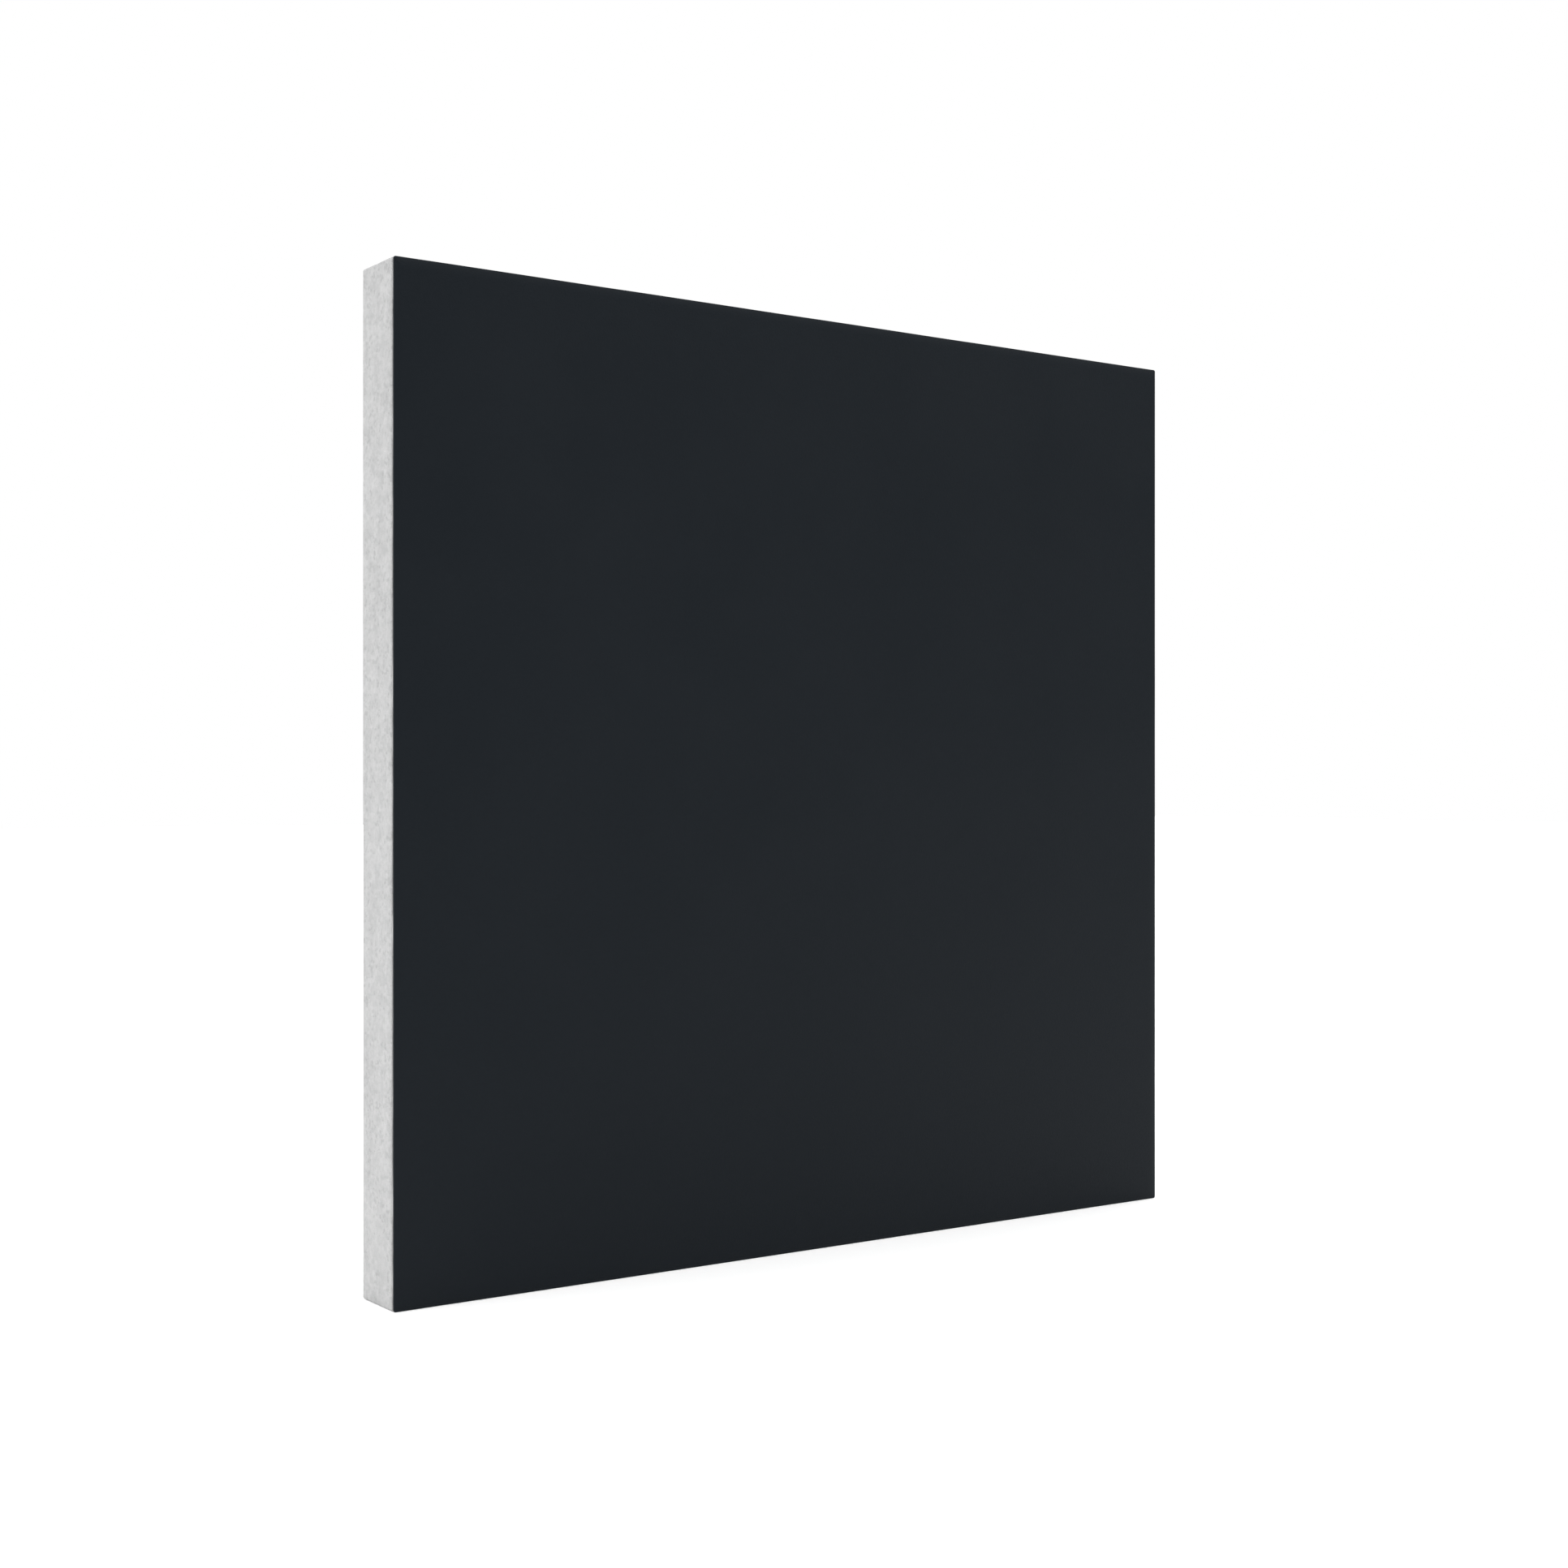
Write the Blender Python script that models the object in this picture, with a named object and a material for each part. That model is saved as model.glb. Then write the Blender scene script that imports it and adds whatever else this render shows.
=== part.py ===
"""Granite slab with a bonded non-slip rubber face, the hard base for stamping and tooling leather.

Metres, +Z up. The slab stands on one edge, as it is stored: X is its width, Z its height and Y
its thickness. The rubber sheet faces -Y and the granite's working face faces +Y. The origin is
the middle of the edge that the slab stands on, half way through the stack's thickness.
"""

import bmesh
import bpy
from mathutils import Vector

# Driving dimensions
SLAB_WIDTH = 0.3048
SLAB_HEIGHT = 0.3048
GRANITE_THICKNESS = 0.0200
GRANITE_EDGE_EASE = 0.0006
BONDED_FACE_ARRIS = 0.0003
ADHESIVE_THICKNESS = 0.0002
ADHESIVE_INSET = 0.0005
RUBBER_THICKNESS = 0.0008
BOND_CLEARANCE = 0.0003

# Roundness of the eased edges
EASE_SEGMENTS = 4
SMOOTH_ANGLE = 0.6

# The stack through the thickness, from the rubber's outer face to the working face
STACK_THICKNESS = RUBBER_THICKNESS + BOND_CLEARANCE + ADHESIVE_THICKNESS + BOND_CLEARANCE + GRANITE_THICKNESS
RUBBER_FRONT = -STACK_THICKNESS / 2
ADHESIVE_FRONT = RUBBER_FRONT + RUBBER_THICKNESS + BOND_CLEARANCE
GRANITE_FRONT = ADHESIVE_FRONT + ADHESIVE_THICKNESS + BOND_CLEARANCE


def clear_scene():
    """Remove whatever the scene already holds."""
    for thing in list(bpy.data.objects):
        bpy.data.objects.remove(thing, do_unlink=True)


def finish_material(name, colour, roughness):
    """Return a Principled material with one colour and roughness."""
    material = bpy.data.materials.new(name)
    material.use_nodes = True
    shader = material.node_tree.nodes["Principled BSDF"]
    shader.inputs["Base Color"].default_value = (*colour, 1.0)
    shader.inputs["Roughness"].default_value = roughness
    shader.inputs["Metallic"].default_value = 0.0
    return material


def upright_block(width, height, thickness):
    """Return a bmesh block centred on X, standing on Z = 0, with its front face at Y = 0."""
    block = bmesh.new()
    bmesh.ops.create_cube(block, size=1.0)
    bmesh.ops.scale(block, verts=block.verts, vec=Vector((width, thickness, height)))
    bmesh.ops.translate(block, verts=block.verts, vec=Vector((0.0, thickness / 2, height / 2)))
    return block


def edges_through_thickness(block):
    """Return the edges that run along Y: the four short corners of the outline."""
    return [edge for edge in block.edges if edge.verts[0].co.y != edge.verts[1].co.y]


def edges_round_face(block, level):
    """Return the edges that lie in the plane Y = level: the outline of that face."""
    half_step = BOND_CLEARANCE / 2
    return [edge for edge in block.edges if all(abs(vert.co.y - level) < half_step for vert in edge.verts)]


def ease(block, edges, width, segments):
    """Bevel the given edges to a round of the given width, or to a flat when segments is 1."""
    bmesh.ops.bevel(
        block,
        geom=edges,
        offset=width,
        offset_type="OFFSET",
        segments=segments,
        profile=0.5,
        affect="EDGES",
        material=-1,
    )


def place(name, block, front, material, holder):
    """Make a named object from a block, with its front face at Y = front."""
    bmesh.ops.recalc_face_normals(block, faces=block.faces)
    mesh = bpy.data.meshes.new(name)
    block.to_mesh(mesh)
    block.free()
    mesh.materials.append(material)
    mesh.shade_smooth()
    mesh.set_sharp_from_angle(angle=SMOOTH_ANGLE)
    piece = bpy.data.objects.new(name, mesh)
    piece.location = (0.0, front, 0.0)
    piece.parent = holder
    bpy.context.scene.collection.objects.link(piece)
    return piece


def build_granite(holder):
    """The stone: eased round the working face and down the outline's corners, a fine arris at the bond."""
    stone = upright_block(SLAB_WIDTH, SLAB_HEIGHT, GRANITE_THICKNESS)
    eased = edges_through_thickness(stone) + edges_round_face(stone, GRANITE_THICKNESS)
    ease(stone, eased, GRANITE_EDGE_EASE, EASE_SEGMENTS)
    ease(stone, edges_round_face(stone, 0.0), BONDED_FACE_ARRIS, 1)
    finish = finish_material("granite", (0.60, 0.60, 0.59), 0.45)
    return place("granite_slab", stone, GRANITE_FRONT, finish, holder)


def build_adhesive(holder):
    """The contact adhesive: a film between stone and rubber that stops short of the outline."""
    film_width = SLAB_WIDTH - 2 * ADHESIVE_INSET
    film_height = SLAB_HEIGHT - 2 * ADHESIVE_INSET
    film = upright_block(film_width, film_height, ADHESIVE_THICKNESS)
    bmesh.ops.translate(film, verts=film.verts, vec=Vector((0.0, 0.0, ADHESIVE_INSET)))
    finish = finish_material("adhesive", (0.45, 0.40, 0.28), 0.55)
    return place("adhesive_film", film, ADHESIVE_FRONT, finish, holder)


def build_rubber(holder):
    """The non-slip sheet: trimmed along the stone's outline and its eased corners, so both stand level."""
    sheet = upright_block(SLAB_WIDTH, SLAB_HEIGHT, RUBBER_THICKNESS)
    ease(sheet, edges_through_thickness(sheet), GRANITE_EDGE_EASE, EASE_SEGMENTS)
    finish = finish_material("rubber", (0.016, 0.019, 0.022), 0.55)
    return place("rubber_backing", sheet, RUBBER_FRONT, finish, holder)


def main():
    """Build the slab's three pieces under one empty at the origin."""
    clear_scene()
    holder = bpy.data.objects.new("slab_origin", None)
    bpy.context.scene.collection.objects.link(holder)
    build_granite(holder)
    build_adhesive(holder)
    build_rubber(holder)


main()
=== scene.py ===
"""Finished look of a granite tooling slab: the stone, its bond line and its rubber face, in a studio.

Metres, +Z up. The slab stands on one edge: X is its width, Z its height and Y its thickness. The
rubber faces -Y and the polished working face +Y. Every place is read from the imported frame.
"""

import logging
import math
from dataclasses import dataclass
from dataclasses import field
from enum import Enum
from typing import Any
from typing import Optional
from typing import Union

import bmesh
import bpy
from mathutils import Euler
from mathutils import Matrix
from mathutils import Vector
from mathutils import noise


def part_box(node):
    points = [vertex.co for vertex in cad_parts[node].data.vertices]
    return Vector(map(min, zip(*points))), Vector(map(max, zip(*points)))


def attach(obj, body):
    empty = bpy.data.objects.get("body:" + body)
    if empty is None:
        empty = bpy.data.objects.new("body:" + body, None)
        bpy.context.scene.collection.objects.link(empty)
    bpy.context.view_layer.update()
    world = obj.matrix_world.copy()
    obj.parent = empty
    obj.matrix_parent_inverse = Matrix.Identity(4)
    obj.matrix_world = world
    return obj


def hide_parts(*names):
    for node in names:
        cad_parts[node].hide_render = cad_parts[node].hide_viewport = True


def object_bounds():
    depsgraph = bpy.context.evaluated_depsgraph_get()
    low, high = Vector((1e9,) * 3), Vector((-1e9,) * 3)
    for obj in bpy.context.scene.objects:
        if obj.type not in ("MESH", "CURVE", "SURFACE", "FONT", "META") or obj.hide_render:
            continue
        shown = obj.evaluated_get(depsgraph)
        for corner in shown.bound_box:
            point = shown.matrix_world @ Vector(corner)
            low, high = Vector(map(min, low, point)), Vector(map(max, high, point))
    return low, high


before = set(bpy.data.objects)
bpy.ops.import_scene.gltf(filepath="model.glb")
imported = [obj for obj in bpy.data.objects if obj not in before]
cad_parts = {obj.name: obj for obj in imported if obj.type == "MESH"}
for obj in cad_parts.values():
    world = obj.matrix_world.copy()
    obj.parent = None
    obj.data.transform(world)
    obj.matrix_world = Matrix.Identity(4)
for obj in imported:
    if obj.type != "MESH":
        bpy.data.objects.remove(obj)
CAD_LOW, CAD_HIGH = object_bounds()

LOG = logging.getLogger("granite_slab")
BODY = "root"
MILLIMETRE = 0.001

Number = Union[float, "Wire"]
Triple = tuple[float, float, float]
Colour = Triple
EVEN: Triple = (1.0, 1.0, 1.0)
SEED_WAY: Triple = (1.0, 1.7, 2.3)
AXES = (0, 1, 2)
X_AXIS, Y_AXIS, Z_AXIS = AXES

# How near a vertex has to be to count as on a line, and how far past a bevel's width it may stand
TOUCH = 0.01 * MILLIMETRE
SLACK = 1.01


class Node(Enum):
    """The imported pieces, by the names that the frame gives them."""

    GRANITE = "granite_slab"
    ADHESIVE = "adhesive_film"
    RUBBER = "rubber_backing"


class Slot(Enum):
    """The material slots."""

    GRANITE = "granite"
    ADHESIVE = "adhesive"
    RUBBER = "rubber"


# ---------------------------------------------------------------------------------------------
# Shader graphs
# ---------------------------------------------------------------------------------------------


class Wire:
    """One number socket of a shader graph, usable in Python expressions."""

    def __init__(self, graph: "Graph", socket: bpy.types.NodeSocket) -> None:
        """Wrap a socket of a graph.

        Args:
            graph: The graph that new Math nodes go into.
            socket: The output socket that carries the number.
        """
        self.graph = graph
        self.socket = socket

    def _math(self, operation: str, first: Number, second: Number) -> "Wire":
        """Add a Math node.

        Args:
            operation: The Math node's operation.
            first: Its first number.
            second: Its second number.

        Returns:
            The node's result.
        """
        node = self.graph.node("ShaderNodeMath", {"operation": operation}, {0: first, 1: second})
        return Wire(self.graph, node.outputs[0])

    def __add__(self, other: Number) -> "Wire":
        """Return self + other."""
        return self._math("ADD", self, other)

    def __radd__(self, other: Number) -> "Wire":
        """Return other + self."""
        return self._math("ADD", other, self)

    def __sub__(self, other: Number) -> "Wire":
        """Return self - other."""
        return self._math("SUBTRACT", self, other)

    def __rsub__(self, other: Number) -> "Wire":
        """Return other - self."""
        return self._math("SUBTRACT", other, self)

    def __mul__(self, other: Number) -> "Wire":
        """Return self * other."""
        return self._math("MULTIPLY", self, other)

    def rise(self, low: float, high: float) -> "Wire":
        """Return a smooth step.

        Args:
            low: The value where the step is 0.
            high: The value where the step is 1.

        Returns:
            A number from 0 to 1. It falls instead of rising when low is above high.
        """
        if low > high:
            return 1.0 - self.rise(high, low)
        settings = {"interpolation_type": "SMOOTHSTEP", "clamp": True}
        sockets = {"Value": self, "From Min": low, "From Max": high}
        node = self.graph.node("ShaderNodeMapRange", settings, sockets)
        return Wire(self.graph, node.outputs["Result"])

    def spread(self, share: float) -> "Wire":
        """Return the number's distance from a half, times a share."""
        return (self - 0.5) * share


class Graph:
    """A node tree that is written as expressions."""

    def __init__(self, tree: bpy.types.NodeTree) -> None:
        """Empty a tree and take it over.

        Args:
            tree: The material's or the world's node tree.
        """
        self.tree = tree
        tree.nodes.clear()

    def node(self, kind: str, settings: dict[str, Any], sockets: dict[Any, Any]) -> bpy.types.Node:
        """Add a node: its settings first, then what its sockets hold.

        Args:
            kind: The node's type.
            settings: Its properties by name. "stops" holds a ramp's positions and colours.
            sockets: Values, sockets or wires, by the socket's name or number.

        Returns:
            The new node.
        """
        node = self.tree.nodes.new(kind)
        for name, value in settings.items():
            if name == "stops":
                self._set_stops(node.color_ramp, value)
            else:
                setattr(node, name, value)
        for name, value in sockets.items():
            self._feed(node.inputs[name], value)
        return node

    def _set_stops(self, ramp: bpy.types.ColorRamp, stops: list[tuple[float, Colour]]) -> None:
        """Give a ramp its stops.

        Args:
            ramp: The ramp, which starts with two stops.
            stops: Positions and colours, from low to high.
        """
        while len(ramp.elements) < len(stops):
            ramp.elements.new(0.5)
        for element, (position, colour) in zip(ramp.elements, stops):
            element.position = position
            element.color = (*colour, 1.0)

    def _feed(self, target: bpy.types.NodeSocket, value: Any) -> None:
        """Link a socket or set its value.

        Args:
            target: The input socket.
            value: A wire, an output socket, a colour, a vector or a number.
        """
        if isinstance(value, Wire):
            self.tree.links.new(value.socket, target)
        elif isinstance(value, bpy.types.NodeSocket):
            self.tree.links.new(value, target)
        elif target.type == "RGBA" and len(value) == 3:
            target.default_value = (*value, 1.0)
        else:
            target.default_value = value

    def object_place(self) -> bpy.types.NodeSocket:
        """Return the place on the piece, in metres."""
        return self.node("ShaderNodeTexCoord", {}, {}).outputs["Object"]

    def camera_sees(self) -> Wire:
        """Return 1 for what the camera sees itself and 0 for what lights the rest."""
        return Wire(self, self.node("ShaderNodeLightPath", {}, {}).outputs["Is Camera Ray"])

    def axes(self, place: bpy.types.NodeSocket) -> tuple[Wire, Wire, Wire]:
        """Return a vector's X, Y and Z.

        Args:
            place: The vector socket.

        Returns:
            Its three numbers.
        """
        parts = self.node("ShaderNodeSeparateXYZ", {}, {0: place}).outputs
        return Wire(self, parts[0]), Wire(self, parts[1]), Wire(self, parts[2])

    def stretched(
        self,
        place: bpy.types.NodeSocket,
        factors: Triple,
        shift: Triple = (0.0, 0.0, 0.0),
    ) -> bpy.types.NodeSocket:
        """Return a place scaled along each axis, then moved.

        Args:
            place: The vector socket.
            factors: The factor along each axis.
            shift: What is added afterwards, to part one pattern from another.

        Returns:
            The vector socket.
        """
        sockets = {0: place, 1: factors, 2: shift}
        return self.node("ShaderNodeVectorMath", {"operation": "MULTIPLY_ADD"}, sockets).outputs[0]

    def wandered(self, place: bpy.types.NodeSocket, size: float, reach: float) -> bpy.types.NodeSocket:
        """Return a place pushed about by noise, which breaks up straight cell walls.

        Args:
            place: The vector socket.
            size: The size of the noise's humps.
            reach: How far a place is pushed, about.

        Returns:
            The pushed vector socket.
        """
        sockets = {"Vector": place, "Scale": 1.0 / size, "Detail": 2.0}
        push = self.node("ShaderNodeTexNoise", {}, sockets).outputs["Color"]
        sockets = {0: push, 1: (0.5, 0.5, 0.5)}
        centred = self.node("ShaderNodeVectorMath", {"operation": "SUBTRACT"}, sockets).outputs[0]
        sockets = {0: centred, 1: (2.0 * reach,) * 3, 2: place}
        return self.node("ShaderNodeVectorMath", {"operation": "MULTIPLY_ADD"}, sockets).outputs[0]

    def mottle(
        self,
        place: bpy.types.NodeSocket,
        size: float,
        detail: float = 2.0,
        roughness: float = 0.5,
    ) -> Wire:
        """Return smooth noise round 0.5.

        Args:
            place: The vector socket.
            size: The size of the noise's humps.
            detail: How many finer octaves it has.
            roughness: How strong they are.

        Returns:
            The noise.
        """
        sockets = {"Vector": place, "Scale": 1.0 / size, "Detail": detail, "Roughness": roughness}
        return Wire(self, self.node("ShaderNodeTexNoise", {}, sockets).outputs[0])

    def crystals(self, place: bpy.types.NodeSocket, size: float) -> tuple[Wire, Wire, Wire]:
        """Return interlocking cells.

        Args:
            place: The vector socket.
            size: The cells' size.

        Returns:
            Two random numbers that are even over a cell, and the distance from its middle, 0 to about 1.
        """
        node = self.node("ShaderNodeTexVoronoi", {}, {"Vector": place, "Scale": 1.0 / size})
        parts = self.node("ShaderNodeSeparateColor", {}, {0: node.outputs["Color"]}).outputs
        return Wire(self, parts[0]), Wire(self, parts[1]), Wire(self, node.outputs["Distance"])

    def blend(self, factor: Number, first: Any, second: Any, way: str = "MIX") -> bpy.types.NodeSocket:
        """Mix two colours.

        Args:
            factor: How much of the second colour there is.
            first: A colour or a colour socket.
            second: A colour or a colour socket.
            way: The Mix node's blend type.

        Returns:
            The mixed colour's socket.
        """
        settings = {"data_type": "RGBA", "blend_type": way, "clamp_factor": True}
        return self.node("ShaderNodeMix", settings, {0: factor, 6: first, 7: second}).outputs[2]

    def grey(self, value: Wire) -> bpy.types.NodeSocket:
        """Return a number as a grey colour.

        Args:
            value: The number.

        Returns:
            The colour's socket.
        """
        return self.node("ShaderNodeCombineColor", {}, {0: value, 1: value, 2: value}).outputs[0]

    def bump(
        self,
        height: Wire,
        distance: float,
        strength: float = 1.0,
        under: Optional[bpy.types.NodeSocket] = None,
    ) -> bpy.types.NodeSocket:
        """Return a normal tilted by a height.

        Args:
            height: The height, about 0 to 1.
            distance: What a height of 1 measures.
            strength: How much of it is used.
            under: The normal that it tilts, if not the mesh's own.

        Returns:
            The normal's socket.
        """
        sockets = {"Height": height, "Distance": distance, "Strength": strength}
        if under is not None:
            sockets["Normal"] = under
        return self.node("ShaderNodeBump", {}, sockets).outputs[0]

    def surface(self, constants: dict[str, Any], varying: dict[str, Any]) -> None:
        """Finish the graph with a Principled shader.

        Args:
            constants: The shader's even values.
            varying: What changes over the surface: colour, roughness and normal.
        """
        shader = self.node("ShaderNodeBsdfPrincipled", {}, {**constants, **varying})
        self.node("ShaderNodeOutputMaterial", {}, {"Surface": shader.outputs[0]})


def new_material(name: str) -> tuple[bpy.types.Material, Graph]:
    """Make an empty material.

    Args:
        name: The material's name.

    Returns:
        The material and its graph.
    """
    material = bpy.data.materials.new(name)
    material.use_nodes = True
    return material, Graph(material.node_tree)


# ---------------------------------------------------------------------------------------------
# Finishes
# ---------------------------------------------------------------------------------------------


@dataclass(frozen=True)
class Crystals:
    """The stone's interlocking quartz and feldspar."""

    smoky_quartz: Colour = (0.135, 0.138, 0.142)
    quartz: Colour = (0.220, 0.223, 0.226)
    grey_feldspar: Colour = (0.335, 0.335, 0.330)
    white_feldspar: Colour = (0.500, 0.497, 0.486)
    smoky_quartz_to: float = 0.18
    quartz_at: float = 0.34
    grey_feldspar_at: float = 0.43
    white_feldspar_from: float = 0.66
    large: float = 3.0 * MILLIMETRE
    large_share: float = 0.50
    small: float = 1.5 * MILLIMETRE
    small_share: float = 0.32
    small_shift: Triple = (0.71, 0.13, 0.37)
    cloud: float = 26.0 * MILLIMETRE
    cloud_share: float = 0.35
    grain: float = 0.45 * MILLIMETRE
    grain_share: float = 0.28
    lowest_tone: float = 0.09
    shade_contrast: float = 0.5
    shade_strength: float = 0.6
    cleavage: float = 0.28 * MILLIMETRE
    cleavage_contrast: float = 1.6
    cleavage_strength: float = 0.45

    def colour(
        self,
        graph: Graph,
        place: bpy.types.NodeSocket,
        ragged: bpy.types.NodeSocket,
    ) -> bpy.types.NodeSocket:
        """Colour each crystal as one of the four minerals, with its own shade and a cleaved grain.

        Args:
            graph: The material's graph.
            place: The place on the piece.
            ragged: The same place, pushed about for ragged crystal edges.

        Returns:
            The colour's socket.
        """
        shifted = graph.stretched(ragged, EVEN, self.small_shift)
        large, large_shade, _ = graph.crystals(ragged, self.large)
        small, small_shade, _ = graph.crystals(shifted, self.small)
        cloud = graph.mottle(place, self.cloud, detail=3.0)
        grain = graph.mottle(place, self.grain, detail=3.0, roughness=0.6)
        drift = cloud.spread(self.cloud_share) + grain.spread(self.grain_share)
        tone = large * self.large_share + small * self.small_share + drift + self.lowest_tone
        stops = [
            (self.smoky_quartz_to, self.smoky_quartz),
            (self.quartz_at, self.quartz),
            (self.grey_feldspar_at, self.grey_feldspar),
            (self.white_feldspar_from, self.white_feldspar),
        ]
        minerals = graph.node("ShaderNodeValToRGB", {"stops": stops}, {0: tone}).outputs["Color"]
        shade = ((large_shade + small_shade) * 0.5).spread(self.shade_contrast) + 0.5
        shaded = graph.blend(self.shade_strength, minerals, graph.grey(shade), "SOFT_LIGHT")
        cleavage = graph.mottle(place, self.cleavage, roughness=0.7)
        cleaved = cleavage.spread(self.cleavage_contrast) + 0.5
        return graph.blend(self.cleavage_strength, shaded, graph.grey(cleaved), "SOFT_LIGHT")


@dataclass(frozen=True)
class Mica:
    """Black mica: small flakes that gather in crowds."""

    colour: Colour = (0.014, 0.014, 0.016)
    cover: float = 0.95
    flake: float = 1.0 * MILLIMETRE
    shift: Triple = (0.29, 0.53, 0.11)
    crowd: float = 6.0 * MILLIMETRE
    crowd_from: float = 0.36
    crowd_to: float = 0.66
    lone_chance: float = 0.03
    crowd_chance: float = 0.22
    chance_blur: float = 0.02
    rim: float = 0.85
    core: float = 0.55

    def flakes(self, graph: Graph, place: bpy.types.NodeSocket, ragged: bpy.types.NodeSocket) -> Wire:
        """Scatter the flakes.

        Args:
            graph: The material's graph.
            place: The place on the piece.
            ragged: The same place, pushed about for ragged crystal edges.

        Returns:
            1 on a flake and 0 elsewhere.
        """
        pick, _, reach = graph.crystals(graph.stretched(ragged, EVEN, self.shift), self.flake)
        crowd = graph.mottle(place, self.crowd).rise(self.crowd_from, self.crowd_to)
        bare = (1.0 - self.lone_chance) - crowd * self.crowd_chance
        return (pick - bare).rise(0.0, self.chance_blur) * reach.rise(self.rim, self.core)


@dataclass(frozen=True)
class HonedSides:
    """The sawn and honed sides: crystals bruised to a pale, sugary grain, and fine saw marks."""

    tone: Colour = (0.396, 0.397, 0.398)
    contrast: float = 0.43
    wash: float = 0.91
    fleck: float = 0.07
    bruise: float = 0.24 * MILLIMETRE
    bruise_reach: float = 0.42 * MILLIMETRE
    crystal: float = 2.6 * MILLIMETRE
    crystal_share: float = 0.20
    chip: float = 1.04 * MILLIMETRE
    chip_share: float = 0.24
    chip_shift: Triple = (0.17, 0.43, 0.61)
    sugar: float = 0.30 * MILLIMETRE
    sugar_share: float = 0.9
    drift: float = 14.0 * MILLIMETRE
    drift_share: float = 0.30
    saw_mark: float = 0.55 * MILLIMETRE
    saw_mark_length: float = 60.0
    saw_mark_stain: float = 0.14
    roughness: float = 0.55
    roughness_swing: float = 0.2
    pit: float = 0.35 * MILLIMETRE
    pit_share: float = 0.5
    saw_mark_share: float = 0.6
    relief: float = 0.05 * MILLIMETRE

    def saw_marks(self, graph: Graph, place: bpy.types.NodeSocket) -> Wire:
        """Draw fine lines that run along the sides.

        Args:
            graph: The material's graph.
            place: The place on the piece.

        Returns:
            The lines, round 0.5.
        """
        along = 1.0 / self.saw_mark_length
        lines = graph.stretched(place, (along, 1.0, along))
        return graph.mottle(lines, self.saw_mark, detail=3.0, roughness=0.65)

    def colour(
        self,
        graph: Graph,
        place: bpy.types.NodeSocket,
        stone: bpy.types.NodeSocket,
        flakes: Wire,
        marks: Wire,
    ) -> bpy.types.NodeSocket:
        """Lay the pale grain over the stone, so that its crystals and flakes only just show.

        Args:
            graph: The material's graph.
            place: The place on the piece.
            stone: The colour of the stone underneath.
            flakes: Where its mica is.
            marks: The saw marks.

        Returns:
            The colour's socket.
        """
        powdered = self._powdered(graph, place)
        washed = graph.blend(self.wash - flakes * self.fleck, stone, powdered)
        return graph.blend(self.saw_mark_stain, washed, graph.grey(marks), "SOFT_LIGHT")

    def height(self, graph: Graph, place: bpy.types.NodeSocket, marks: Wire) -> Wire:
        """Return the sides' height: the saw marks, with fine pits."""
        return marks * self.saw_mark_share + graph.mottle(place, self.pit) * self.pit_share

    def _powdered(self, graph: Graph, place: bpy.types.NodeSocket) -> bpy.types.NodeSocket:
        """Bruise the crystals to a sugary grain.

        Args:
            graph: The material's graph.
            place: The place on the piece.

        Returns:
            The grain's colour.
        """
        bruised = graph.wandered(place, self.bruise, self.bruise_reach)
        crystal, _, _ = graph.crystals(bruised, self.crystal)
        chip, _, _ = graph.crystals(graph.stretched(bruised, EVEN, self.chip_shift), self.chip)
        sugar = graph.mottle(place, self.sugar, roughness=0.7)
        drift = graph.mottle(place, self.drift, detail=3.0)
        coarse = crystal.spread(self.crystal_share) + chip.spread(self.chip_share)
        grain = coarse + sugar.spread(self.sugar_share) + drift.spread(self.drift_share) + 0.5
        return graph.blend(self.contrast, self.tone, graph.grey(grain), "SOFT_LIGHT")


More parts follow.
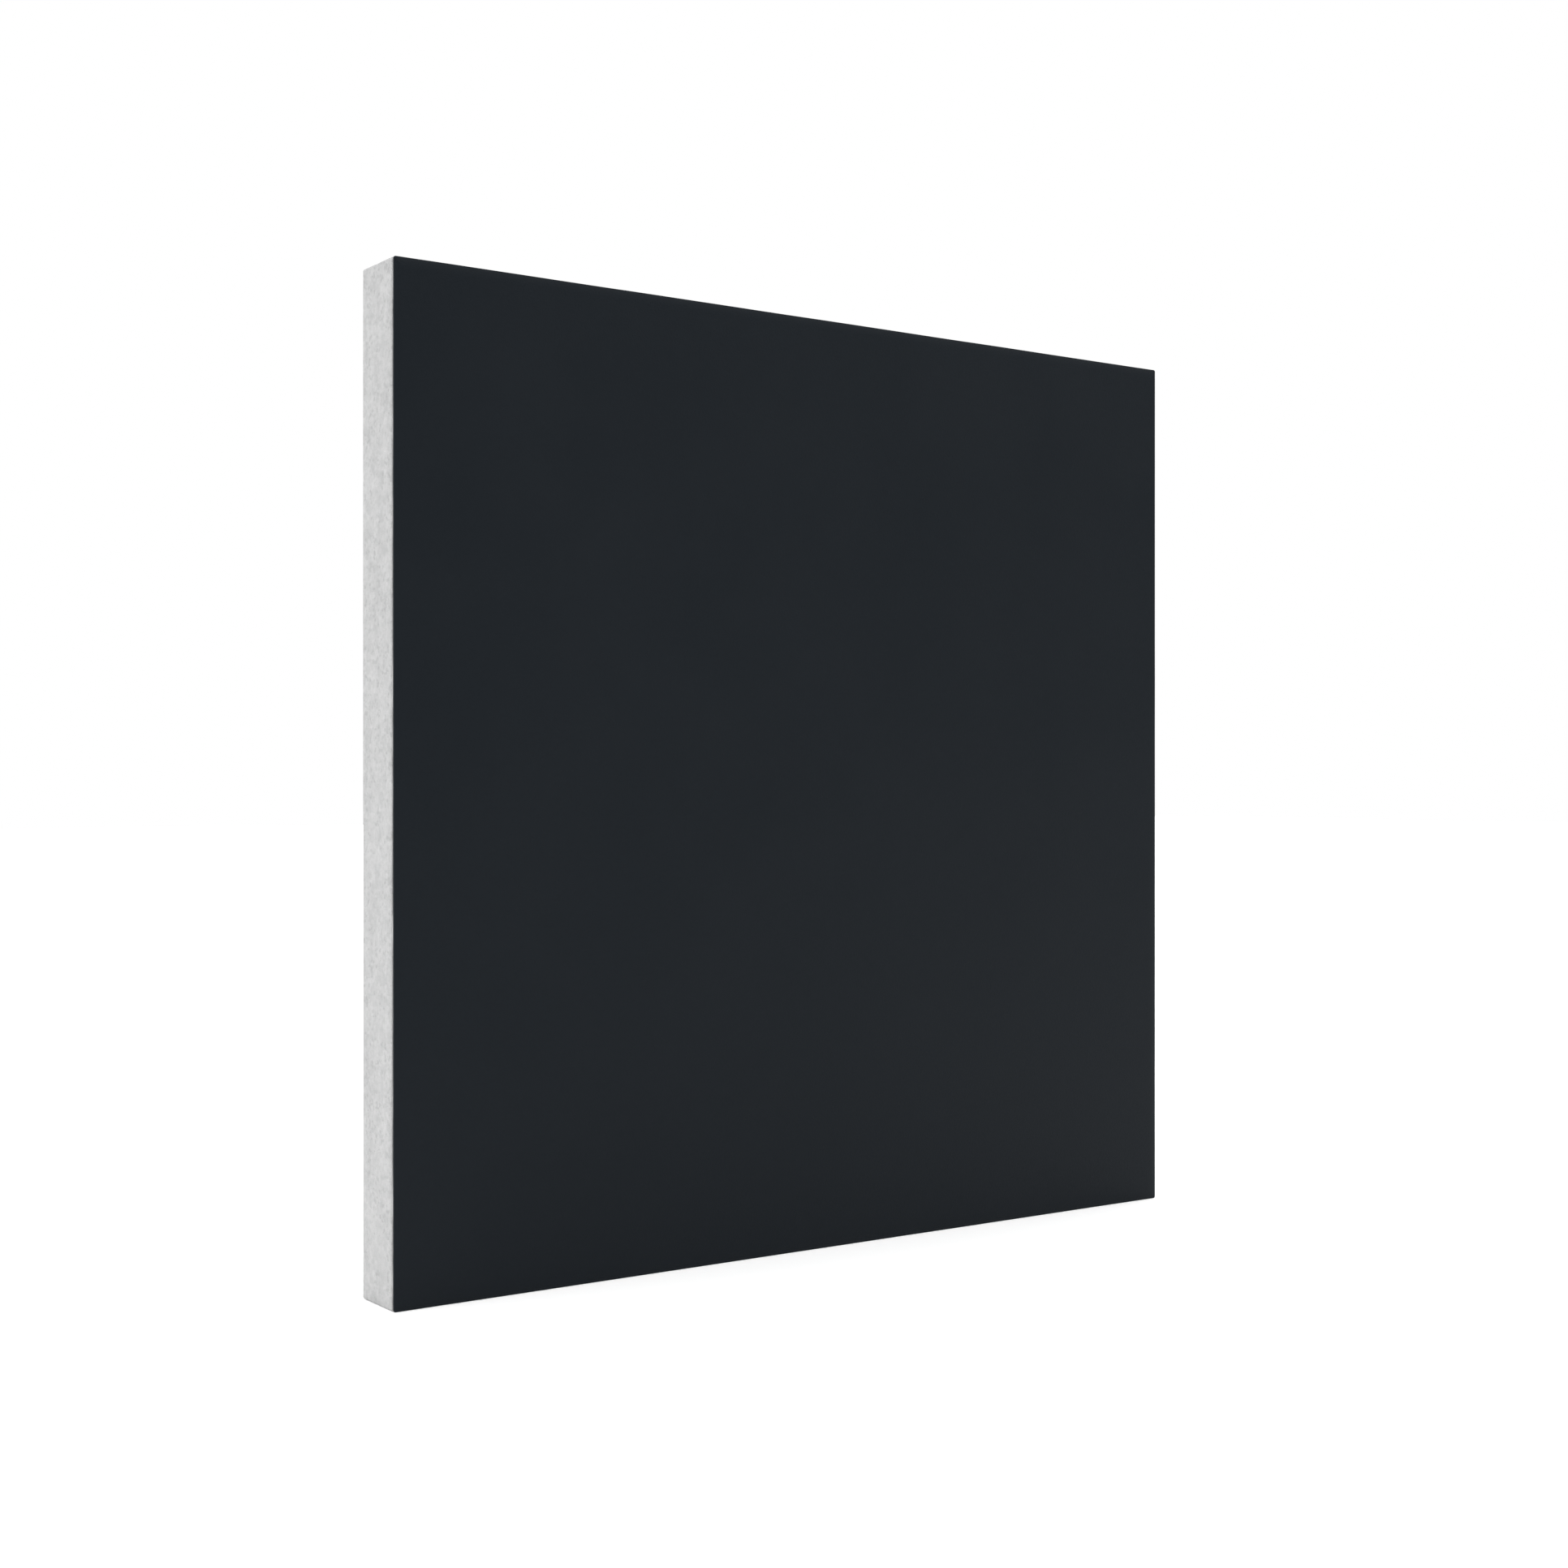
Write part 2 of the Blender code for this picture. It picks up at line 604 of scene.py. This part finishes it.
@dataclass(frozen=True)
class GraniteFinish:
    """Light grey granite: polished on the working face, sawn and honed on the sides."""

    polished_level: float
    polish_from: float = 0.35 * MILLIMETRE
    polish_to: float = 0.05 * MILLIMETRE
    crystals: Crystals = Crystals()
    mica: Mica = Mica()
    sides: HonedSides = HonedSides()
    bend: float = 2.2 * MILLIMETRE
    bend_reach: float = 0.9 * MILLIMETRE
    rag: float = 0.5 * MILLIMETRE
    rag_reach: float = 0.22 * MILLIMETRE
    polished_roughness: float = 0.08
    flake_dullness: float = 0.14
    smear: float = 30.0 * MILLIMETRE
    smear_share: float = 0.05
    refraction: float = 1.54

    def material(self) -> bpy.types.Material:
        """Build the granite's material.

        Returns:
            The material.
        """
        material, graph = new_material("granite")
        place = graph.object_place()
        polished = self._polished(graph, place)
        ragged = graph.wandered(graph.wandered(place, self.bend, self.bend_reach), self.rag, self.rag_reach)
        flakes = self.mica.flakes(graph, place, ragged)
        crystals = self.crystals.colour(graph, place, ragged)
        stone = graph.blend(flakes * self.mica.cover, crystals, self.mica.colour)
        marks = self.sides.saw_marks(graph, place)
        colour = graph.blend(polished, self.sides.colour(graph, place, stone, flakes, marks), stone)
        height = self.sides.height(graph, place, marks) * (1.0 - polished)
        varying = {
            "Base Color": colour,
            "Roughness": self._roughness(graph, place, polished, flakes, marks),
            "Normal": graph.bump(height, self.sides.relief),
        }
        graph.surface({"IOR": self.refraction}, varying)
        return material

    def _polished(self, graph: Graph, place: bpy.types.NodeSocket) -> Wire:
        """Return 1 on the polished working face and 0 on the sides, with the change on the arris."""
        depth = graph.axes(place)[Y_AXIS]
        return depth.rise(self.polished_level - self.polish_from, self.polished_level - self.polish_to)

    def _roughness(
        self,
        graph: Graph,
        place: bpy.types.NodeSocket,
        polished: Wire,
        flakes: Wire,
        marks: Wire,
    ) -> Wire:
        """Work out how rough the stone is: flakes take a duller polish, and the sides are honed.

        Args:
            graph: The material's graph.
            place: The place on the piece.
            polished: Where the stone is polished.
            flakes: Where its mica is.
            marks: The saw marks.

        Returns:
            The roughness.
        """
        smears = graph.mottle(place, self.smear) * self.smear_share
        gloss = self.polished_roughness + flakes * self.flake_dullness + smears
        honed = self.sides.roughness + marks.spread(self.sides.roughness_swing)
        return honed * (1.0 - polished) + gloss * polished


@dataclass(frozen=True)
class RubberFinish:
    """Smooth black sheet rubber with a satin skin."""

    colour: Colour = (0.0047, 0.0073, 0.0102)
    bloom: Colour = (0.0060, 0.0086, 0.0116)
    haze: float = 55.0 * MILLIMETRE
    haze_from: float = 0.35
    haze_to: float = 0.75
    haze_share: float = 0.7
    haze_roughness: float = 0.16
    speck: float = 0.9 * MILLIMETRE
    speck_from: float = 0.66
    speck_to: float = 0.8
    speck_share: float = 0.3
    speck_roughness: float = 0.20
    grain: float = 0.50 * MILLIMETRE
    grain_depth: float = 0.06 * MILLIMETRE
    ripple: float = 40.0 * MILLIMETRE
    ripple_depth: float = 0.4 * MILLIMETRE
    ripple_strength: float = 0.5
    roughness: float = 0.50
    specular_level: float = 0.12

    def material(self) -> bpy.types.Material:
        """Build the rubber's material.

        Returns:
            The material.
        """
        material, graph = new_material("rubber")
        place = graph.object_place()
        haze = graph.mottle(place, self.haze, detail=4.0, roughness=0.55)
        specks = graph.mottle(place, self.speck, detail=1.0)
        hazy = haze.rise(self.haze_from, self.haze_to) * self.haze_share
        bloomed = hazy + specks.rise(self.speck_from, self.speck_to) * self.speck_share
        dulled = haze.spread(self.haze_roughness) + specks.spread(self.speck_roughness)
        varying = {
            "Base Color": graph.blend(bloomed, self.colour, self.bloom),
            "Roughness": self.roughness + dulled,
            "Normal": self._skin(graph, place),
        }
        graph.surface({"Specular IOR Level": self.specular_level}, varying)
        return material

    def _skin(self, graph: Graph, place: bpy.types.NodeSocket) -> bpy.types.NodeSocket:
        """Lay the skin's fine grain over the sheet's slow ripple.

        Args:
            graph: The material's graph.
            place: The place on the piece.

        Returns:
            The normal's socket.
        """
        grain = graph.bump(graph.mottle(place, self.grain, roughness=0.6), self.grain_depth)
        ripple = graph.mottle(place, self.ripple, detail=1.0)
        return graph.bump(ripple, self.ripple_depth, self.ripple_strength, grain)


@dataclass(frozen=True)
class AdhesiveFinish:
    """Dried contact adhesive, pale and a little glossy."""

    colour: Colour = (0.54, 0.542, 0.54)
    stain: Colour = (0.46, 0.455, 0.44)
    patch: float = 6.0 * MILLIMETRE
    patch_from: float = 0.45
    patch_to: float = 0.70
    patch_roughness: float = 0.3
    lump: float = 0.8 * MILLIMETRE
    lump_depth: float = 0.15 * MILLIMETRE
    roughness: float = 0.38
    refraction: float = 1.5

    def material(self) -> bpy.types.Material:
        """Build the adhesive's material.

        Returns:
            The material.
        """
        material, graph = new_material("adhesive")
        place = graph.object_place()
        patches = graph.mottle(place, self.patch, detail=3.0)
        stained = patches.rise(self.patch_from, self.patch_to)
        varying = {
            "Base Color": graph.blend(stained, self.colour, self.stain),
            "Roughness": self.roughness + patches.spread(self.patch_roughness),
            "Normal": graph.bump(graph.mottle(place, self.lump), self.lump_depth),
        }
        graph.surface({"IOR": self.refraction}, varying)
        return material


# ---------------------------------------------------------------------------------------------
# Shapes
# ---------------------------------------------------------------------------------------------


@dataclass(frozen=True)
class Extent:
    """A box in the frame: its lowest and highest corner."""

    low: Vector
    high: Vector

    @classmethod
    def of_node(cls, node: Node) -> "Extent":
        """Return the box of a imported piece."""
        low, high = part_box(node.value)
        return cls(Vector(low), Vector(high))

    @property
    def size(self) -> Vector:
        """The box's three sides."""
        return self.high - self.low

    @property
    def middle(self) -> Vector:
        """The box's middle."""
        return (self.low + self.high) / 2.0

    def depths(self, point: Vector) -> Vector:
        """Return how far inside the box a point is along each axis, from the nearer side."""
        from_low, from_high = point - self.low, self.high - point
        return Vector(tuple(min(from_low[axis], from_high[axis]) for axis in AXES))

    def inward(self, point: Vector, axis: int) -> float:
        """Return the way from a point to the box's middle along an axis, as 1 or -1."""
        return 1.0 if point[axis] < self.middle[axis] else -1.0


def humps(point: Vector, size: float, seed: float) -> float:
    """Return smooth noise from about -1 to 1.

    Args:
        point: Where it is read.
        size: The size of its humps.
        seed: What parts one noise from another.

    Returns:
        The noise.
    """
    return noise.noise(point / size + Vector(tuple(part * seed for part in SEED_WAY)))


def uneven(point: Vector, size: float, seed: float) -> float:
    """Return smooth noise from about 0 to 1.

    Args:
        point: Where it is read.
        size: The size of its humps.
        seed: What parts one noise from another.

    Returns:
        The noise.
    """
    return 0.5 + 0.5 * humps(point, size, seed)


def upright_block(extent: Extent, cell: float, layers: int) -> bmesh.types.BMesh:
    """Make a closed block of even cells that stands upright.

    Args:
        extent: The block's box.
        cell: The width and height of a cell on its large faces, about.
        layers: How many cells there are through the thickness.

    Returns:
        The block.
    """
    size = extent.size
    block = bmesh.new()
    bmesh.ops.create_grid(
        block,
        x_segments=math.ceil(size.x / cell),
        y_segments=math.ceil(size.z / cell),
        size=0.5,
    )
    corner = Vector((extent.middle.x, extent.low.y, extent.middle.z))
    upright = Matrix.Rotation(math.pi / 2, 4, "X") @ Matrix.Diagonal((size.x, size.z, 1.0, 1.0))
    bmesh.ops.transform(block, matrix=Matrix.Translation(corner) @ upright, verts=block.verts)
    made = bmesh.ops.extrude_face_region(block, geom=block.faces[:])["geom"]
    back = [item for item in made if isinstance(item, bmesh.types.BMVert)]
    bmesh.ops.translate(block, verts=back, vec=Vector((0.0, size.y, 0.0)))
    if layers > 1:
        across = set(back)
        rim = [edge for edge in block.edges if len(across.intersection(edge.verts)) == 1]
        bmesh.ops.subdivide_edges(block, edges=rim, cuts=layers - 1, use_grid_fill=True)
    bmesh.ops.recalc_face_normals(block, faces=block.faces)
    return block


class Line(Enum):
    """The sharp lines of an upright block."""

    CORNERS = "the short corners through the thickness"
    FRONT = "the outline at low Y"
    BACK = "the outline at high Y"


def edges_on(block: bmesh.types.BMesh, extent: Extent, line: Line) -> list[bmesh.types.BMEdge]:
    """Return the edges of one of the block's sharp lines.

    Args:
        block: The block, before its lines are eased.
        extent: The block's box.
        line: Which line.

    Returns:
        The edges.
    """
    wide = {vert for vert in block.verts if extent.depths(vert.co).x < TOUCH}
    tall = {vert for vert in block.verts if extent.depths(vert.co).z < TOUCH}
    if line is Line.CORNERS:
        both = wide & tall
        return [edge for edge in block.edges if both.issuperset(edge.verts)]
    level = extent.low.y if line is Line.FRONT else extent.high.y
    flat = {vert for vert in wide | tall if abs(vert.co.y - level) < TOUCH}
    outline = [edge for edge in block.edges if flat.issuperset(edge.verts)]
    return [edge for edge in outline if wide.issuperset(edge.verts) or tall.issuperset(edge.verts)]


def ease(block: bmesh.types.BMesh, edges: list[bmesh.types.BMEdge], width: float, segments: int) -> None:
    """Round edges over.

    Args:
        block: The block.
        edges: Its edges to bevel.
        width: The bevel's width.
        segments: 1 for a flat arris, more for a round one.
    """
    bmesh.ops.bevel(
        block,
        geom=edges,
        offset=width,
        offset_type="OFFSET",
        segments=segments,
        profile=0.5,
        affect="EDGES",
        material=-1,
    )


def finish_piece(
    name: str,
    block: bmesh.types.BMesh,
    material: bpy.types.Material,
    angle: float,
) -> bpy.types.Object:
    """Turn a bmesh into an object at the origin.

    Args:
        name: The piece's name.
        block: Its shape, in the frame's own place.
        material: Its material.
        angle: The angle past which an edge is sharp, in radians.

    Returns:
        The object.
    """
    bmesh.ops.recalc_face_normals(block, faces=block.faces)
    mesh = bpy.data.meshes.new(name)
    block.to_mesh(mesh)
    block.free()
    mesh.materials.append(material)
    mesh.shade_smooth()
    mesh.set_sharp_from_angle(angle=angle)
    piece = bpy.data.objects.new(name, mesh)
    bpy.context.scene.collection.objects.link(piece)
    return piece


# ---------------------------------------------------------------------------------------------
# Pieces
# ---------------------------------------------------------------------------------------------


@dataclass
class GraniteBlock:
    """The stone, with an eased working face and the small chips that sawing and polishing leave."""

    extent: Extent = field(default_factory=lambda: Extent.of_node(Node.GRANITE))
    cell: float = 2.0 * MILLIMETRE
    layers: int = 8
    ease_width: float = 0.6 * MILLIMETRE
    ease_segments: int = 4
    arris_width: float = 0.3 * MILLIMETRE
    arris_segments: int = 2
    chip_depth: float = 0.35 * MILLIMETRE
    chip_size: float = 5.5 * MILLIMETRE
    chip_threshold: float = 0.34
    chip_seed: float = 3.1
    wander_depth: float = 0.05 * MILLIMETRE
    wander_size: float = 14.0 * MILLIMETRE
    wander_seed: float = 9.7
    front_facing: float = -0.9
    sharp_angle: float = 0.7

    def build(self) -> bpy.types.Object:
        """Make and dress the stone.

        Returns:
            The finished piece.
        """
        block = self._shape()
        self._chip(block)
        finish = GraniteFinish(polished_level=self.extent.high.y)
        piece = finish_piece("granite_block", block, finish.material(), self.sharp_angle)
        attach(piece, BODY)
        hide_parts(Node.GRANITE.value)
        return piece

    def _shape(self) -> bmesh.types.BMesh:
        """Make the block and ease its edges.

        Returns:
            The block.
        """
        block = upright_block(self.extent, self.cell, self.layers)
        eased = edges_on(block, self.extent, Line.CORNERS) + edges_on(block, self.extent, Line.BACK)
        ease(block, eased, self.ease_width, self.ease_segments)
        ease(block, self._bond_outline(block), self.arris_width, self.arris_segments)
        return block

    def _bond_outline(self, block: bmesh.types.BMesh) -> list[bmesh.types.BMEdge]:
        """Find the outline of the bonded face, round the eased corners too.

        Args:
            block: The block, with its corners eased.

        Returns:
            The outline's edges.
        """
        front = {face for face in block.faces if face.normal.y < self.front_facing}
        return [edge for edge in block.edges if len(front.intersection(edge.link_faces)) == 1]

    def _chip(self, block: bmesh.types.BMesh) -> None:
        """Wear the arrises: a slow wander everywhere, and a chip where the noise peaks.

        Args:
            block: The eased block.
        """
        for vert in block.verts:
            depths = self.extent.depths(vert.co)
            nearest, next_nearest = sorted(AXES, key=lambda axis: depths[axis])[:2]
            at_bond = Y_AXIS in (nearest, next_nearest) and vert.co.y < self.extent.middle.y
            width = self.arris_width if at_bond else self.ease_width
            if depths[next_nearest] > width * SLACK:
                continue
            crown = max(0.0, 1.0 - abs(depths[nearest] - depths[next_nearest]) / width)
            inward = Vector((0.0, 0.0, 0.0))
            for axis in (nearest, next_nearest):
                inward[axis] = self.extent.inward(vert.co, axis)
            vert.co += inward.normalized() * crown * self._wear(vert.co, width)

    def _wear(self, spot: Vector, width: float) -> float:
        """Work out how deep an arris is worn.

        Args:
            spot: The place on the arris.
            width: The arris's width: a narrow one takes shallower chips.

        Returns:
            The depth.
        """
        peak = max(0.0, humps(spot, self.chip_size, self.chip_seed) - self.chip_threshold)
        chip = self.chip_depth * peak / (1.0 - self.chip_threshold) * math.sqrt(width / self.ease_width)
        return chip + self.wander_depth * uneven(spot, self.wander_size, self.wander_seed)


@dataclass
class AdhesiveBead:
    """The bond line: adhesive that fills the space from stone to rubber, with a ragged rim."""

    stone: Extent = field(default_factory=lambda: Extent.of_node(Node.GRANITE))
    sheet: Extent = field(default_factory=lambda: Extent.of_node(Node.RUBBER))
    cell: float = 2.5 * MILLIMETRE
    rim_inset: float = 0.12 * MILLIMETRE
    rim_wander: float = 0.45 * MILLIMETRE
    rim_hump: float = 9.0 * MILLIMETRE
    rim_seed: float = 5.3
    rim_round: float = 0.2 * MILLIMETRE
    rim_segments: int = 2
    sharp_angle: float = 1.0

    def build(self) -> bpy.types.Object:
        """Make and dress the bond line.

        Returns:
            The finished piece.
        """
        low = Vector((self.stone.low.x, self.sheet.high.y, self.stone.low.z))
        high = Vector((self.stone.high.x, self.stone.low.y, self.stone.high.z))
        inset = Vector((self.rim_inset, 0.0, self.rim_inset))
        extent = Extent(low + inset, high - inset)
        block = upright_block(extent, self.cell, 1)
        rim = edges_on(block, extent, Line.FRONT) + edges_on(block, extent, Line.BACK)
        ease(block, rim, self.rim_round, self.rim_segments)
        self._rag(block, extent)
        piece = finish_piece("adhesive_bead", block, AdhesiveFinish().material(), self.sharp_angle)
        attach(piece, BODY)
        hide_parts(Node.ADHESIVE.value)
        return piece

    def _rag(self, block: bmesh.types.BMesh, extent: Extent) -> None:
        """Pull the rim in by an uneven amount, as adhesive spreads.

        Args:
            block: The bead.
            extent: Its box.
        """
        for vert in block.verts:
            depths = extent.depths(vert.co)
            for axis in (X_AXIS, Z_AXIS):
                if depths[axis] > self.rim_round * SLACK:
                    continue
                spot = Vector((vert.co.x, 0.0, vert.co.z))
                pull = self.rim_wander * uneven(spot, self.rim_hump, self.rim_seed)
                vert.co[axis] += pull * extent.inward(vert.co, axis)


@dataclass
class RubberSheet:
    """The non-slip sheet, knife-trimmed along the stone's outline."""

    extent: Extent = field(default_factory=lambda: Extent.of_node(Node.RUBBER))
    cell: float = 3.0 * MILLIMETRE
    corner_radius: float = 0.6 * MILLIMETRE
    corner_segments: int = 4
    rim_round: float = 0.12 * MILLIMETRE
    rim_segments: int = 2
    rim_angle: float = 1.2
    trim_wander: float = 0.08 * MILLIMETRE
    trim_hump: float = 22.0 * MILLIMETRE
    trim_seed: float = 7.9
    sharp_angle: float = 0.9

    def build(self) -> bpy.types.Object:
        """Make and dress the sheet.

        Returns:
            The finished piece.
        """
        block = upright_block(self.extent, self.cell, 1)
        ease(block, edges_on(block, self.extent, Line.CORNERS), self.corner_radius, self.corner_segments)
        self._round_rim(block)
        self._trim(block)
        piece = finish_piece("rubber_sheet", block, RubberFinish().material(), self.sharp_angle)
        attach(piece, BODY)
        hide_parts(Node.RUBBER.value)
        return piece

    def _round_rim(self, block: bmesh.types.BMesh) -> None:
        """Round the cut edge a little on both faces, corners included.

        Args:
            block: The sheet.
        """
        rim = []
        for edge in block.edges:
            first, second = edge.link_faces
            if first.normal.angle(second.normal) > self.rim_angle:
                rim.append(edge)
        ease(block, rim, self.rim_round, self.rim_segments)

    def _trim(self, block: bmesh.types.BMesh) -> None:
        """Let the knife's line wander inward a little.

        Args:
            block: The sheet.
        """
        for vert in block.verts:
            depths = self.extent.depths(vert.co)
            for axis in (X_AXIS, Z_AXIS):
                if depths[axis] > self.cell / 2:
                    continue
                spot = Vector((vert.co.x, 0.0, vert.co.z))
                pull = self.trim_wander * uneven(spot, self.trim_hump, self.trim_seed)
                vert.co[axis] += pull * self.extent.inward(vert.co, axis)


# ---------------------------------------------------------------------------------------------
# Studio
# ---------------------------------------------------------------------------------------------


@dataclass(frozen=True)
class Softbox:
    """A square softbox that points at the slab."""

    name: str
    place: Triple
    width: float
    power: float

    def build(self, target: Vector) -> bpy.types.Object:
        """Hang the softbox.

        Args:
            target: The point that it faces.

        Returns:
            The light's object.
        """
        data = bpy.data.lights.new(self.name, "AREA")
        data.shape = "SQUARE"
        data.size = self.width
        data.energy = self.power
        lamp = bpy.data.objects.new(self.name, data)
        lamp.location = self.place
        lamp.rotation_euler = (target - lamp.location).to_track_quat("-Z", "Y").to_euler()
        lamp.visible_camera = False
        bpy.context.scene.collection.objects.link(lamp)
        return lamp


@dataclass
class Studio:
    """A pale floor, a soft surround that is bright overhead and dim behind the viewer, and the camera."""

    floor_width: float = 14.0
    floor_gap: float = 0.05 * MILLIMETRE
    floor_colour: Colour = (0.94, 0.94, 0.94)
    floor_glow: float = 0.10
    floor_roughness: float = 0.9
    floor_specular_level: float = 0.1
    backdrop: Colour = (1.0, 1.0, 1.0)
    overhead: Colour = (2.0, 2.0, 2.0)
    overhead_from: float = 0.30
    overhead_to: float = 0.62
    surround_bright: Colour = (0.85, 0.85, 0.85)
    surround_dim: Colour = (0.12, 0.122, 0.125)
    dim_way: Triple = (0.62, -0.76, 0.0)
    dim_from: float = -0.35
    dim_to: float = 0.75
    camera_place: tuple[float, float] = (-0.4248, -0.5923)
    camera_turn: float = 35.185
    camera_lens: float = 50.37
    camera_sensor: float = 36.0
    softboxes: tuple[Softbox, ...] = (
        Softbox(name="left_softbox", place=(-1.5, -0.3, 0.9), width=1.2, power=2.0),
        Softbox(name="right_softbox", place=(1.25, -1.15, 0.95), width=0.8, power=1.3),
    )

    def build(self) -> None:
        """Set the studio up round the slab."""
        middle = (CAD_LOW + CAD_HIGH) / 2.0
        self._floor()
        self._surround()
        for softbox in self.softboxes:
            softbox.build(middle)
        self._camera(middle.z)
        bpy.context.scene.view_settings.view_transform = "Standard"

    def _floor(self) -> None:
        """Lay the floor just under the slab, with a glow for the camera alone that keeps shadows faint."""
        sheet = bmesh.new()
        bmesh.ops.create_grid(sheet, x_segments=1, y_segments=1, size=self.floor_width / 2)
        mesh = bpy.data.meshes.new("floor")
        sheet.to_mesh(mesh)
        sheet.free()
        floor = bpy.data.objects.new("floor", mesh)
        floor.location.z = CAD_LOW.z - self.floor_gap
        material, graph = new_material("floor")
        constants = {
            "Base Color": self.floor_colour,
            "Roughness": self.floor_roughness,
            "Specular IOR Level": self.floor_specular_level,
            "Emission Color": self.backdrop,
        }
        graph.surface(constants, {"Emission Strength": graph.camera_sees() * self.floor_glow})
        mesh.materials.append(material)
        bpy.context.scene.collection.objects.link(floor)

    def _surround(self) -> None:
        """Light everything from a soft dome, and show a plain pale backdrop behind the slab."""
        world = bpy.data.worlds.new("surround")
        world.use_nodes = True
        bpy.context.scene.world = world
        graph = Graph(world.node_tree)
        way = graph.node("ShaderNodeTexCoord", {}, {}).outputs["Generated"]
        facing = graph.node(
            "ShaderNodeVectorMath",
            {"operation": "DOT_PRODUCT"},
            {0: way, 1: tuple(Vector(self.dim_way).normalized())},
        )
        dimness = Wire(graph, facing.outputs["Value"]).rise(self.dim_from, self.dim_to)
        sides = graph.blend(dimness, self.surround_bright, self.surround_dim)
        height = graph.axes(way)[Z_AXIS].rise(self.overhead_from, self.overhead_to)
        dome = graph.blend(height, sides, self.overhead)
        colour = graph.blend(graph.camera_sees(), dome, self.backdrop)
        light = graph.node("ShaderNodeBackground", {}, {"Color": colour, "Strength": 1.0})
        graph.node("ShaderNodeOutputWorld", {}, {"Surface": light.outputs[0]})

    def _camera(self, height: float) -> None:
        """Place the camera level with the slab's middle, turned to see its left side.

        Args:
            height: The height of the slab's middle.
        """
        data = bpy.data.cameras.new("camera")
        data.lens = self.camera_lens
        data.sensor_width = self.camera_sensor
        camera = bpy.data.objects.new("camera", data)
        camera.location = (*self.camera_place, height)
        camera.rotation_euler = Euler((math.pi / 2, 0.0, -math.radians(self.camera_turn)))
        bpy.context.scene.collection.objects.link(camera)
        bpy.context.scene.camera = camera


def main() -> None:
    """Build the slab's pieces, then the studio."""
    logging.basicConfig(level=logging.INFO, format="%(name)s: %(message)s")
    for maker in (GraniteBlock(), AdhesiveBead(), RubberSheet()):
        piece = maker.build()
        LOG.info("%s: %d faces", piece.name, len(piece.data.polygons))
    Studio().build()
    LOG.info("studio set up")


if __name__ == "__main__":
    main()
